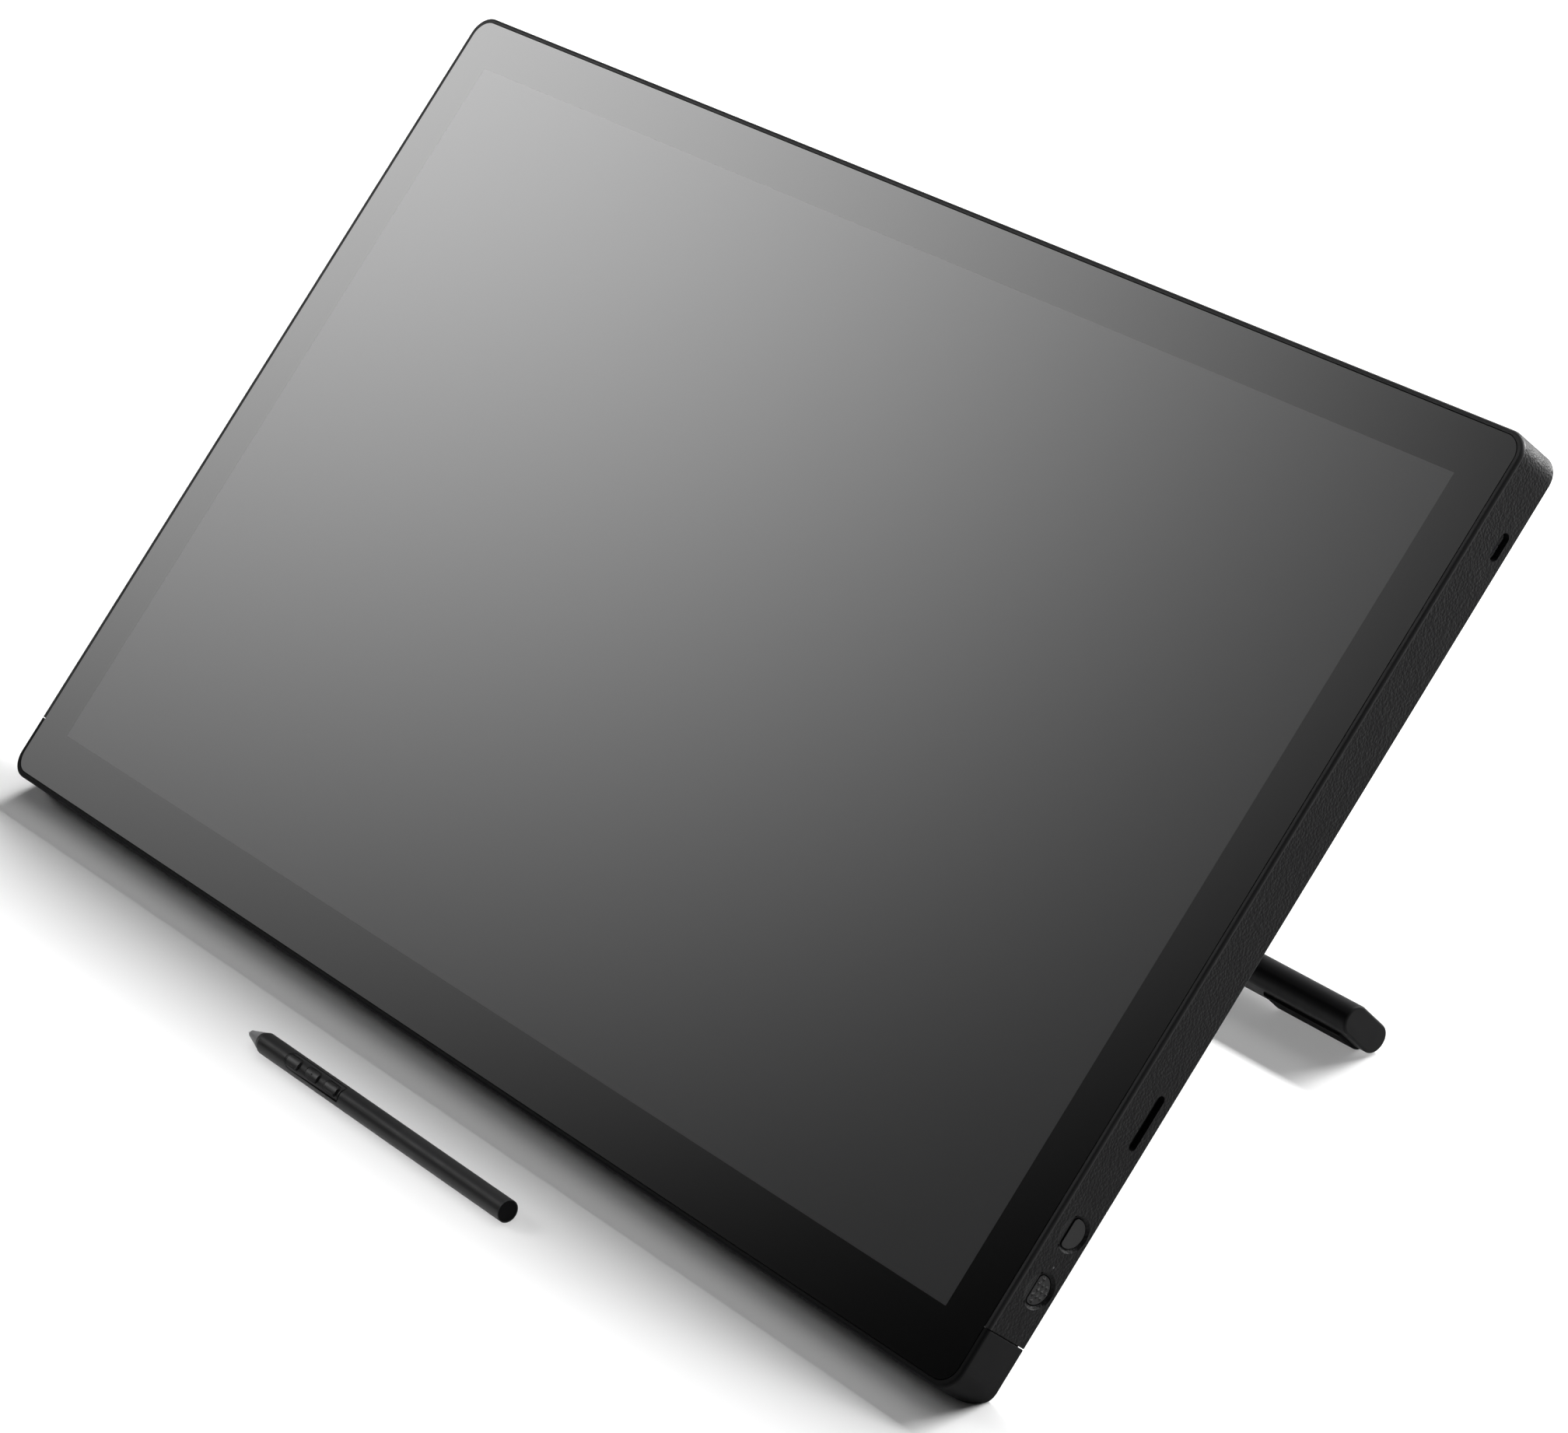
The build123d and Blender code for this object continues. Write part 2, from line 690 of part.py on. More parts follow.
def friction_washers():
    """Sprung washers between the arm's knuckle and the ears, which hold the stand where it is put."""
    washers = []
    for side in (-1, 1):
        for face in (-1, 1):
            x = side * ARM_X + face * (KNUCKLE_W / 2 + 0.17)
            ring = rod(x - 0.15, x + 0.15, PIVOT_Y, PIVOT_Z, 5.4)
            washers.append(ring - rod(x - 1, x + 1, PIVOT_Y, PIVOT_Z, SHAFT_R + 0.05))
    return group(washers)


def foot_section(grow):
    return RectangleRounded(FOOT_DEEP + 2 * grow, FOOT_THICK + 2 * grow, FOOT_R + grow)


def foot_outer(grow, x0, x1):
    return wall_shape(foot_section(grow), x0, x1, PIVOT_Y - LEG, PIVOT_Z)


def stand_arm():
    """Cast arm from the hinge knuckle to the foot, coped round the foot's edge."""
    knuckle = rod(ARM_X - KNUCKLE_W / 2, ARM_X + KNUCKLE_W / 2, PIVOT_Y, PIVOT_Z, KNUCKLE_R)
    half_t = ARM_T / 2
    neck = block(
        ARM_X - KNUCKLE_W / 2,
        ARM_X + KNUCKLE_W / 2,
        PIVOT_Y - ARM_SHOULDER - 3,
        PIVOT_Y,
        PIVOT_Z - half_t,
        PIVOT_Z + half_t,
    )
    blade = block(
        ARM_X - ARM_W / 2,
        ARM_X + ARM_W / 2,
        PIVOT_Y - LEG + 5,
        PIVOT_Y - ARM_SHOULDER,
        PIVOT_Z - half_t,
        PIVOT_Z + half_t,
    )
    blade = fillet(blade.edges().filter_by(Axis.Y), 2.5)
    arm = fused([knuckle, neck, blade]) - foot_outer(0, ARM_X - 40, ARM_X + 40)
    arm -= rod(ARM_X - 30, ARM_X + 30, PIVOT_Y, PIVOT_Z, SHAFT_R)
    lightening = slab(ARM_X - 10, ARM_X + 10, PIVOT_Y - LEG + 24, PIVOT_Y - 22, PIVOT_Z + 1.5, 0, 6)
    arm -= lightening
    for x, z in arm_screw_places():
        arm -= leg_rod(x, z, 5, 27, ARM_SCREW_R + 0.05)
    return arm


def arm_screw_places():
    return [(side * (ARM_X + dx), PIVOT_Z) for side in (-1, 1) for dx in (-11, 11)]


def leg_rod(x, z, y0, y1, radius):
    """A round bar or hole along the arm's length, placed from the foot's middle."""
    return Pos(x, PIVOT_Y - LEG + (y0 + y1) / 2, z) * Rot(90, 0, 0) * Cylinder(radius, y1 - y0)


def foot_bar():
    """Hollow extruded foot bar, with access holes below and seats inside for the arms' screws."""
    bar = foot_outer(0, -FOOT_HALF + 1.0, FOOT_HALF - 1.0)
    bar -= foot_outer(-FOOT_WALL, -FOOT_HALF, FOOT_HALF)
    for x, z in arm_screw_places():
        bar -= leg_rod(x, z, -20, 20, ARM_SCREW_R + 0.1)
        bar -= leg_rod(x, z, -20, ARM_SCREW_SEAT, ARM_SCREW_HEAD_R + 0.1)
    return bar


def foot_end_cap():
    """Moulded end cap with a soft edge and a plug inside the bar."""
    face = foot_outer(0, FOOT_HALF - 1.0, FOOT_HALF)
    face = fillet(face.faces().sort_by(Axis.X)[-1].edges(), 0.9)
    plug = foot_outer(-FOOT_WALL - 0.02, FOOT_HALF - 9.0, FOOT_HALF - 0.9)
    plug -= foot_outer(-FOOT_WALL - 1.2, FOOT_HALF - 10.0, FOOT_HALF - 2.4)
    return face + plug


def foot_pad():
    """Rubber pad that wraps the foot's lower edge and inner side, the sides that meet the table."""
    x1 = FOOT_HALF - PAD_FROM_END
    x0 = x1 - PAD_LONG
    pad = foot_outer(PAD_PROUD, x0, x1)
    pad = chamfer(pad.faces().sort_by(Axis.X)[0].edges(), 0.8)
    pad = chamfer(pad.faces().sort_by(Axis.X)[-1].edges(), 0.5)
    pad -= foot_outer(0, x0 - 1, x1 + 1)
    foot_y = PIVOT_Y - LEG
    return pad & block(x0 - 1, x1 + 1, foot_y - 20, foot_y + 2.5, PIVOT_Z - 2.6, 10)


def arm_screws():
    """Screws from inside the foot bar into the arms."""
    seat = ARM_SCREW_SEAT
    return group(
        leg_rod(x, z, seat - 2.0, seat, ARM_SCREW_HEAD_R)
        - leg_rod(x, z, seat - 3.0, seat - 0.8, 1.25)
        + leg_rod(x, z, seat - 0.1, 26, ARM_SCREW_R)
        for x, z in arm_screw_places()
    )


def hinge_screws():
    """Screws from the brackets, through the housing's floor, into the chassis."""
    top = FLOOR_BACK - 2.0
    return group(
        post(x, y, top - 1.4, top, 2.7)
        - post(x, y, top - 2, top - 0.6, 1.1)
        + post(x, y, top - 0.1, CHASSIS_FRONT - 0.1, 1.45)
        for x, y in hinge_screw_places()
    )


# ---- pen: drawn with the tip at x = 0, the body towards +x and the switches facing +z ----
def turned(points):
    """A solid of revolution about x from (x, radius) points."""
    profile = Plane.XZ * make_face(Polyline(*points, close=True))
    return revolve(profile, axis=Axis.X)


def tube(x0, x1, outer, inner):
    return rod(x0, x1, 0, 0, outer) - rod(x0 - 1, x1 + 1, 0, 0, inner)


def panel_outline(start, end, half):
    """The switch recess in plan: round towards the nib and square towards the tail."""
    outline = Pos((start + half + end) / 2, 0) * Rectangle(end - start - half, 2 * half)
    corners = outline.vertices().group_by(Axis.X)[-1]
    outline = fillet(corners, 0.9)
    return outline + Pos(start + half, 0) * Circle(half)


def panel_radius(x):
    """The panel's surface, flush with the barrel at its nib end and sinking towards the tail."""
    along = (x - PANEL_START) / (PANEL_END - PANEL_START)
    return PANEL_R[0] + (PANEL_R[1] - PANEL_R[0]) * along


def switch_outline(x):
    return Pos(x, 0) * RectangleRounded(SWITCH_L, SWITCH_W, SWITCH_CORNER_R)


def switch_window(x):
    """Opening round a switch, wider at the tail end where the switch stands up."""
    length = SWITCH_L + 2 * SWITCH_GAP + SWITCH_TAIL_GAP
    width = SWITCH_W + 2 * SWITCH_GAP
    outline = RectangleRounded(length, width, SWITCH_CORNER_R + SWITCH_GAP)
    return extrude(Pos(x + SWITCH_TAIL_GAP / 2, 0) * outline, amount=6)


def pen_nib():
    return rod(0.65, 23.8, 0, 0, 0.65) + Pos(0.65, 0, 0) * Sphere(0.65)


def pen_nose_cone():
    cone = turned(
        [
            (CONE_START, 0),
            (CONE_START, 0.95),
            (CONE_START + 0.3, 1.2),
            (CONE_END, CONE_END_R),
            (CONE_END, 0),
        ]
    )
    spigot = rod(CONE_END - 0.1, CONE_END + 4.0, 0, 0, PEN_BORE_R - 0.02)
    bore = rod(-1, 20, 0, 0, 0.75)
    relief = rod(8.0, 20, 0, 0, 2.3)
    return (cone + spigot) - bore - relief


def pen_barrel():
    """Front half of the body, with the recess for the side switches."""
    body = turned(
        [
            (CONE_END, 0),
            (CONE_END, CONE_END_R),
            (TAPER_END, PEN_R),
            (PEN_SEAM, PEN_R),
            (PEN_SEAM, 0),
        ]
    )
    body -= rod(CONE_END - 1, PEN_SEAM + 1, 0, 0, PEN_BORE_R)
    recess = extrude(panel_outline(PANEL_START, PANEL_END, PANEL_HALF), amount=6)
    body -= recess - rod(PANEL_START - 1, PANEL_END + 1, 0, 0, PANEL_FLOOR_R)
    slot_start = PANEL_END - PANEL_TRENCH - 0.4
    body -= block(slot_start, PANEL_END, 1.5 - PANEL_HALF, PANEL_HALF - 1.5, 0, 6)
    for x in SWITCH_STATIONS:
        body -= switch_window(x)
    spigot = tube(PEN_SEAM - 6, PEN_SEAM + 7, 2.9, 2.3)
    return body + spigot


def pen_switch_panel():
    """Insert in the recess that sinks towards the tail, with three windows."""
    end = PANEL_END - PANEL_TRENCH
    skin = turned(
        [
            (PANEL_START, PANEL_FLOOR_R + 0.02),
            (PANEL_START, panel_radius(PANEL_START)),
            (end, panel_radius(end)),
            (end, PANEL_FLOOR_R + 0.02),
        ]
    )
    outline = panel_outline(PANEL_START + PANEL_GAP, end, PANEL_HALF - PANEL_GAP)
    panel = skin & extrude(outline, amount=6)
    for x in SWITCH_STATIONS:
        panel -= switch_window(x)
    return panel


def pen_switch(x, dimple):
    """Side switch that is flush with the panel at its nib end and stands up at its tail end."""
    start, end = x - SWITCH_L / 2, x + SWITCH_L / 2
    high = panel_radius(end) + SWITCH_PROUD
    body = turned([(start, 0), (start, panel_radius(start)), (end, high), (end, 0)])
    cap = Pos(0, 0, SWITCH_FOOT) * extrude(switch_outline(x), amount=4)
    cap = cap & body
    if dimple:
        cap += Pos(x, 0, (panel_radius(start) + high) / 2 - 0.12) * Sphere(0.42)
    return cap


def pen_tail():
    shell = rod(PEN_SEAM, PEN_L, 0, 0, PEN_R)
    shell -= rod(PEN_SEAM - 1, PEN_SEAM + 7.2, 0, 0, 2.92)
    shell -= rod(PEN_SEAM + 7.1, PEN_L - 3, 0, 0, 3.0)
    shell -= rod(PEN_L - 3.1, PEN_L + 1, 0, 0, 3.7)
    return shell


def pen_tail_cap():
    cap = rod(PEN_L - 2.9, PEN_L - 0.05, 0, 0, 3.68)
    return fillet(cap.faces().sort_by(Axis.X)[-1].edges(), 0.15)


def pen_pieces():
    switches = dict(zip(("pen_switch_front", "pen_switch_middle", "pen_switch_rear"), SWITCH_STATIONS))
    pieces = {
        "pen_nib": pen_nib(),
        "pen_nose_cone": pen_nose_cone(),
        "pen_barrel": pen_barrel(),
        "pen_switch_panel": pen_switch_panel(),
        "pen_tail": pen_tail(),
        "pen_tail_cap": pen_tail_cap(),
        "pen_coil": tube(11.0, 20.0, 2.2, 0.8),
        "pen_pressure_sensor": rod(24.4, 29.0, 0, 0, 1.2),
        "pen_board": block(29.0, 90.0, -1.5, 1.5, -0.8, 0.0),
        "pen_side_switches": group(
            block(x - 1.2, x + 1.2, -1.2, 1.2, 0.0, 1.5) for x in SWITCH_STATIONS
        ),
        "pen_balance_weight": rod(PEN_SEAM + 9, PEN_SEAM + 29, 0, 0, 2.98),
    }
    for name, x in switches.items():
        pieces[name] = pen_switch(x, name == "pen_switch_middle")
    return pieces


# ---- tilt: the display rests on the round of its rail and on the foot pads' lower corner ----
def swing(y, z, angle):
    """A point of the folded stand after it opens by an angle about the pivot."""
    a = radians(angle)
    dy, dz = y - PIVOT_Y, z - PIVOT_Z
    return PIVOT_Y + dy * cos(a) - dz * sin(a), PIVOT_Z + dy * sin(a) + dz * cos(a)


RAIL_CENTRE = (BODY_BOTTOM + RAIL_R, REAR_Z + RAIL_R)
PAD_CENTRE = swing(
    PIVOT_Y - LEG - FOOT_DEEP / 2 + FOOT_R, PIVOT_Z + FOOT_THICK / 2 - FOOT_R, REST_OPEN
)
PAD_R = FOOT_R + PAD_PROUD
reach_y = PAD_CENTRE[0] - RAIL_CENTRE[0]
reach_z = PAD_CENTRE[1] - RAIL_CENTRE[1]
TILT = degrees(asin((PAD_R - RAIL_R) / hypot(reach_y, reach_z)) - atan2(reach_z, reach_y))
RISE = RAIL_R - (RAIL_CENTRE[0] * sin(radians(TILT)) + RAIL_CENTRE[1] * cos(radians(TILT)))
TABLE_PLACE = Pos(0, 0, RISE) * Rot(TILT, 0, 0)
STAND_SWING = Pos(0, PIVOT_Y, PIVOT_Z) * Rot(REST_OPEN, 0, 0) * Pos(0, -PIVOT_Y, -PIVOT_Z)
RAIL_CONTACT_Y = RAIL_CENTRE[0] * cos(radians(TILT)) - RAIL_CENTRE[1] * sin(radians(TILT))
PEN_PLACE = Pos(PEN_TIP_X, RAIL_CONTACT_Y - PEN_AHEAD, PEN_R) * Rot(PEN_ROLL, 0, 0)


def display_pieces():
    return {
        "cover_glass": slab(
            -GLASS_HALF_W, GLASS_HALF_W, GLASS_BOTTOM, GLASS_TOP, 0, GLASS_T, GLASS_R
        ),
        "lcd_panel": lcd_panel(),
        "backlight_unit": block(-267, 267, -154, 152.5, BACKLIGHT_BACK, PANEL_BACK),
        "sensor_board": block(-266, 266, -153, 152, SENSOR_BACK, BACKLIGHT_BACK),
        "glass_gasket": glass_gasket(),
        "front_frame": front_frame(),
        "chassis_plate": chassis_plate(),
        "rear_housing": rear_housing(),
        "bottom_rail": bottom_rail(),
        "function_button": function_button(),
        "power_button": side_button(POWER_Y, POWER_FACE),
        "status_light_pipe": rod(278.2, HALF_W - 0.05, LED_Y, BUTTON_Z, LED_R),
        "button_board": button_board(),
        "side_switches": side_switches(),
        "accessory_socket": accessory_socket(),
        "usb_c_port": usb_c_port(),
        "port_bezel": port_bezel(),
        "main_board": main_board(),
        "board_chips": board_chips(),
        "shield_can": shield_can(),
        "heat_spreader": heat_spreader(),
        "board_standoffs": board_standoffs(),
        "board_screws": board_screws(),
        "driver_board": driver_board(),
        "driver_standoffs": driver_standoffs(),
        "panel_cable": panel_cable(),
        "vesa_plate": vesa_plate(),
        "vesa_inserts": vesa_inserts(),
        "housing_screws": housing_screws(),
        "rear_feet": rear_feet(),
        "hinge_bracket_right": hinge_bracket(),
        "hinge_bracket_left": mirrored(hinge_bracket()),
        "hinge_cover_right": hinge_cover(),
        "hinge_cover_left": mirrored(hinge_cover()),
        "hinge_screws": hinge_screws(),
    }


def stand_pieces():
    return {
        "stand_arm_right": stand_arm(),
        "stand_arm_left": mirrored(stand_arm()),
        "hinge_shaft_right": hinge_shaft(),
        "hinge_shaft_left": mirrored(hinge_shaft()),
        "friction_washers": friction_washers(),
        "foot_bar": foot_bar(),
        "foot_cap_right": foot_end_cap(),
        "foot_cap_left": mirrored(foot_end_cap()),
        "foot_pad_right": foot_pad(),
        "foot_pad_left": mirrored(foot_pad()),
        "arm_screws": arm_screws(),
    }


def build():
    """Every piece by name, standing on the table with the origin under the middle of the whole object."""
    placed = {name: TABLE_PLACE * piece for name, piece in display_pieces().items()}
    placed.update({name: TABLE_PLACE * STAND_SWING * piece for name, piece in stand_pieces().items()})
    placed.update({name: PEN_PLACE * piece for name, piece in pen_pieces().items()})
    boxes = [piece.bounding_box() for piece in placed.values()]
    low = min(box.min.Y for box in boxes)
    high = max(box.max.Y for box in boxes)
    shift = -(low + high) / 2
    return {name: Pos(0, shift, 0) * piece for name, piece in placed.items()}, shift


def main():
    os.makedirs("parts", exist_ok=True)
    pieces, shift = build()
    for name, piece in pieces.items():
        export_step(piece, f"parts/{name}.step")
    print("tilt", round(TILT, 3), "rise", round(RISE, 3), "shift", round(shift, 3), "nodes", len(pieces))


main()
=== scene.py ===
import math

import bpy
from mathutils import Matrix, Vector


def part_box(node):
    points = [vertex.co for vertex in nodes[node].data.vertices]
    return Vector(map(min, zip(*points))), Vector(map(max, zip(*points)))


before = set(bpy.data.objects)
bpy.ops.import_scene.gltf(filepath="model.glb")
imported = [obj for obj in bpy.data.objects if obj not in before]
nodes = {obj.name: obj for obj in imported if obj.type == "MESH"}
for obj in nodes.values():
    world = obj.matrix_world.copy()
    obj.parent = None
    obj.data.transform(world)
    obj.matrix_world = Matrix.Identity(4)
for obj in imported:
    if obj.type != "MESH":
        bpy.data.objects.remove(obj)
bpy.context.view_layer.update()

# A pen display on its fold-out stand, with the pen in front of it.
# Lengths are in metres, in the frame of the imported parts.

# ---- the screen: lean from the table in degrees, half width and half height of the lit area ----
TILT = 43.177
LIT_HALF_W = 0.26352
LIT_HALF_H = 0.14823
# share of the glass's height that lies below the middle of the lit area
LIT_MIDDLE = 0.5038

# ---- camera ----
CAMERA_PLACE = Vector((1.3340, -0.8774, 0.9127))
CAMERA_AZIMUTH = 55.23
CAMERA_ELEVATION = 27.27
CAMERA_ROLL = -5.19
LENS = 120.72
SENSOR = 36.0


def make_camera():
    camera = bpy.data.objects.new("camera", bpy.data.cameras.new("camera"))
    bpy.context.scene.collection.objects.link(camera)
    azimuth, elevation, roll = map(math.radians, (CAMERA_AZIMUTH, CAMERA_ELEVATION, CAMERA_ROLL))
    turn = Matrix.Rotation(azimuth, 3, "Z") @ Matrix.Rotation(math.pi / 2 - elevation, 3, "X")
    turn = turn @ Matrix.Rotation(roll, 3, "Z")
    camera.matrix_world = Matrix.Translation(CAMERA_PLACE) @ turn.to_4x4()
    camera.data.lens = LENS
    camera.data.sensor_width = SENSOR
    camera.data.clip_start = 0.01
    camera.data.clip_end = 60
    bpy.context.scene.camera = camera


# ---- studio ----
# each light: its place, width and height, then its power in watts
OVERHEAD = ((0.1, 0.6, 2.8), 3.0, 2.4, 19)
BEHIND = ((0.4, 2.21, 2.03), 3.4, 0.27, 132)
BEHIND_SOFT = (*BEHIND[:3], 40)
# each patch of the room: the azimuth and elevation of its middle and its spread, all in degrees
GLOW_PLACE = (-108.0, 31.3)
GLOW_SPREAD = 6.9
GLOW_STRENGTH = 9.3
GLOW_EDGE = 0.68
ROOM_PLACE = (90.0, 15.0)
ROOM_STRENGTH = 0.10
WALL_PLACE = (3.0, 3.0)
WALL_SPREAD = 8.0
WALL_STRENGTH = 55.0
BACKDROP = 1.0
FLOOR_REACH = 12.0
# from the first distance to the second, the floor's own brightness grows to the backdrop's
FLOOR_FADE = (0.9, 2.4)


def area_light(name, place, width, height, power, passes=()):
    """A soft white panel that leans towards the object; the nodes it passes cast no shadow."""
    light = bpy.data.lights.new(name, "AREA")
    light.shape = "RECTANGLE"
    light.size = width
    light.size_y = height
    light.energy = power
    obj = bpy.data.objects.new(name, light)
    bpy.context.scene.collection.objects.link(obj)
    obj.location = place
    obj.rotation_euler = Vector((0, -place[1], -place[2])).to_track_quat("-Z", "Y").to_euler()
    obj.visible_camera = False
    if passes:
        blockers = bpy.data.collections.new(name + "_blockers")
        obj.light_linking.blocker_collection = blockers
        for node in passes:
            blockers.objects.link(nodes[node])
        for member in blockers.collection_objects:
            member.light_linking.link_state = "EXCLUDE"


def aim(azimuth, elevation):
    azimuth, elevation = math.radians(azimuth), math.radians(elevation)
    flat = math.cos(elevation)
    return (math.sin(azimuth) * flat, math.cos(azimuth) * flat, math.sin(elevation))


def make_world():
    """A dim room, lighter on the right and behind, with a soft glow on the left for the screen."""
    world = bpy.data.worlds.new("studio")
    world.use_nodes = True
    bpy.context.scene.world = world
    tree = world.node_tree
    direction = tree.nodes.new("ShaderNodeTexCoord").outputs["Generated"]

    def maths(operation, first, second=0.0):
        step = tree.nodes.new("ShaderNodeMath")
        step.operation = operation
        for socket, value in zip(step.inputs, (first, second)):
            if isinstance(value, float):
                socket.default_value = value
            else:
                tree.links.new(value, socket)
        return step.outputs[0]

    def towards(place):
        step = tree.nodes.new("ShaderNodeVectorMath")
        step.operation = "DOT_PRODUCT"
        tree.links.new(direction, step.inputs[0])
        step.inputs[1].default_value = aim(*place)
        return step.outputs["Value"]

    glow = maths("SUBTRACT", towards(GLOW_PLACE), 1.0)
    glow = maths("EXPONENT", maths("MULTIPLY", glow, 1 / math.radians(GLOW_SPREAD) ** 2))
    glow = maths("SUBTRACT", maths("MULTIPLY", glow, GLOW_STRENGTH), GLOW_EDGE)
    room = maths("MULTIPLY", maths("MAXIMUM", towards(ROOM_PLACE), 0.0), ROOM_STRENGTH)
    wall = maths("SUBTRACT", towards(WALL_PLACE), 1.0)
    wall = maths("EXPONENT", maths("MULTIPLY", wall, 1 / math.radians(WALL_SPREAD) ** 2))
    room = maths("ADD", room, maths("MULTIPLY", wall, WALL_STRENGTH))
    light = maths("ADD", maths("MAXIMUM", glow, 0.0), room)
    # the room itself is pale wherever the camera sees past the floor
    seen = tree.nodes.new("ShaderNodeLightPath").outputs["Is Camera Ray"]
    hidden = maths("SUBTRACT", 1.0, seen)
    strength = maths("ADD", maths("MULTIPLY", light, hidden), maths("MULTIPLY", seen, BACKDROP))
    tree.links.new(strength, tree.nodes["Background"].inputs["Strength"])
    tree.nodes["Background"].inputs["Color"].default_value = (1, 1, 1, 1)


def make_studio():
    scene = bpy.context.scene
    scene.view_settings.view_transform = "Standard"
    make_world()
    area_light("overhead", *OVERHEAD)
    pen = [name for name in nodes if name.startswith("pen_")]
    foot = [name for name in nodes if name.startswith("foot_")]
    area_light("behind", *BEHIND, pen)
    area_light("behind_soft", *BEHIND_SOFT, pen + foot)
    floor = bpy.data.meshes.new("floor")
    corners = [(-FLOOR_REACH, -FLOOR_REACH, 0), (FLOOR_REACH, -FLOOR_REACH, 0)]
    corners += [(FLOOR_REACH, FLOOR_REACH, 0), (-FLOOR_REACH, FLOOR_REACH, 0)]
    floor.from_pydata(corners, [], [(0, 1, 2, 3)])
    floor.materials.append(floor_finish().material)
    obj = bpy.data.objects.new("floor", floor)
    scene.collection.objects.link(obj)


# ---- materials ----
# width of the copper fields on a circuit board
COPPER_FIELD = 0.006
# the lit area's edge parts the black print from the grey of the panel behind it
PRINT_COLOUR = (0.0004, 0.0004, 0.0005)
PANEL_COLOUR = (0.060, 0.060, 0.061)


class Finish:
    """A node material: base colour, roughness and bump that vary over the object's own coordinates."""

    def __init__(self, name, colour, roughness, **sockets):
        self.material = bpy.data.materials.new(name)
        self.material.use_nodes = True
        self.tree = self.material.node_tree
        self.shader = self.tree.nodes["Principled BSDF"]
        self.colour = colour
        self.shader.inputs["Base Color"].default_value = (*colour, 1)
        self.shader.inputs["Roughness"].default_value = roughness
        for socket, value in sockets.items():
            self.shader.inputs[socket.replace("_", " ")].default_value = value
        self.place = None

    def node(self, kind, **settings):
        made = self.tree.nodes.new(kind)
        for key, value in settings.items():
            setattr(made, key, value)
        return made

    def link(self, output, target):
        self.tree.links.new(output, target)

    def coordinates(self, stretch=(1, 1, 1)):
        if self.place is None:
            self.place = self.node("ShaderNodeTexCoord").outputs["Object"]
        mapping = self.node("ShaderNodeMapping")
        mapping.inputs["Scale"].default_value = stretch
        self.link(self.place, mapping.inputs["Vector"])
        return mapping.outputs["Vector"]

    def noise(self, size, detail=2.0, stretch=(1, 1, 1)):
        """Smooth noise whose features are about size metres across."""
        made = self.node("ShaderNodeTexNoise")
        made.inputs["Scale"].default_value = 1 / size
        made.inputs["Detail"].default_value = detail
        self.link(self.coordinates(stretch), made.inputs["Vector"])
        return made.outputs["Fac"]

    def cells(self, size, stretch=(1, 1, 1)):
        """Rounded cells about size metres across, for moulded grain."""
        made = self.node("ShaderNodeTexVoronoi", feature="SMOOTH_F1")
        made.inputs["Scale"].default_value = 1 / size
        made.inputs["Smoothness"].default_value = 0.6
        self.link(self.coordinates(stretch), made.inputs["Vector"])
        return made.outputs["Distance"]

    def maths(self, operation, first, second=None):
        made = self.node("ShaderNodeMath", operation=operation)
        for socket, value in zip(made.inputs, (first, second)):
            if isinstance(value, (int, float)):
                socket.default_value = value
            elif value is not None:
                self.link(value, socket)
        return made.outputs[0]

    def spread(self, value, low, high, start=0.3, end=0.7):
        made = self.node("ShaderNodeMapRange")
        made.inputs["From Min"].default_value = start
        made.inputs["From Max"].default_value = end
        made.inputs["To Min"].default_value = low
        made.inputs["To Max"].default_value = high
        self.link(value, made.inputs["Value"])
        return made.outputs["Result"]

    def mix(self, factor, first, second):
        made = self.node("ShaderNodeMix", data_type="RGBA")
        self.link(factor, made.inputs["Factor"])
        for socket, value in (("A", first), ("B", second)):
            target = [i for i in made.inputs if i.name == socket and i.type == "RGBA"][0]
            if isinstance(value, tuple):
                target.default_value = (*value, 1)
            else:
                self.link(value, target)
        return [o for o in made.outputs if o.type == "RGBA"][0]

    def tint(self, factor, first, second):
        self.link(self.mix(factor, first, second), self.shader.inputs["Base Color"])
        return self

    def vary_colour(self, size, amount, detail=3.0):
        first = tuple(c * (1 - amount) for c in self.colour)
        second = tuple(min(1.0, c * (1 + amount)) for c in self.colour)
        return self.tint(self.spread(self.noise(size, detail), 0, 1), first, second)

    def vary_roughness(self, size, low, high, detail=3.0):
        self.link(self.spread(self.noise(size, detail), low, high), self.shader.inputs["Roughness"])
        return self

    def bump(self, height, depth, strength=1.0):
        made = self.node("ShaderNodeBump")
        made.inputs["Strength"].default_value = strength
        made.inputs["Distance"].default_value = depth
        self.link(height, made.inputs["Height"])
        below = self.shader.inputs["Normal"].links
        if below:
            self.link(below[0].from_socket, made.inputs["Normal"])
        self.link(made.outputs["Normal"], self.shader.inputs["Normal"])
        return self


def moulded(name, colour, roughness, grain, depth, **sockets):
    """Black moulded plastic with a fine spark-eroded grain."""
    f = Finish(name, colour, roughness, **sockets)
    f.vary_colour(size=0.02, amount=0.12)
    f.vary_roughness(size=0.006, low=roughness - 0.05, high=roughness + 0.06)
    f.bump(f.cells(grain), depth, strength=0.8)
    f.bump(f.noise(grain * 0.45, detail=3), depth * 0.5, strength=0.6)
    return f


def satin(name, colour, roughness, **sockets):
    """Smooth satin plastic or paint with faint unevenness."""
    f = Finish(name, colour, roughness, **sockets)
    f.vary_colour(size=0.03, amount=0.08)
    f.vary_roughness(size=0.004, low=roughness - 0.03, high=roughness + 0.04)
    f.bump(f.noise(size=0.0004), depth=0.00001, strength=0.5)
    return f


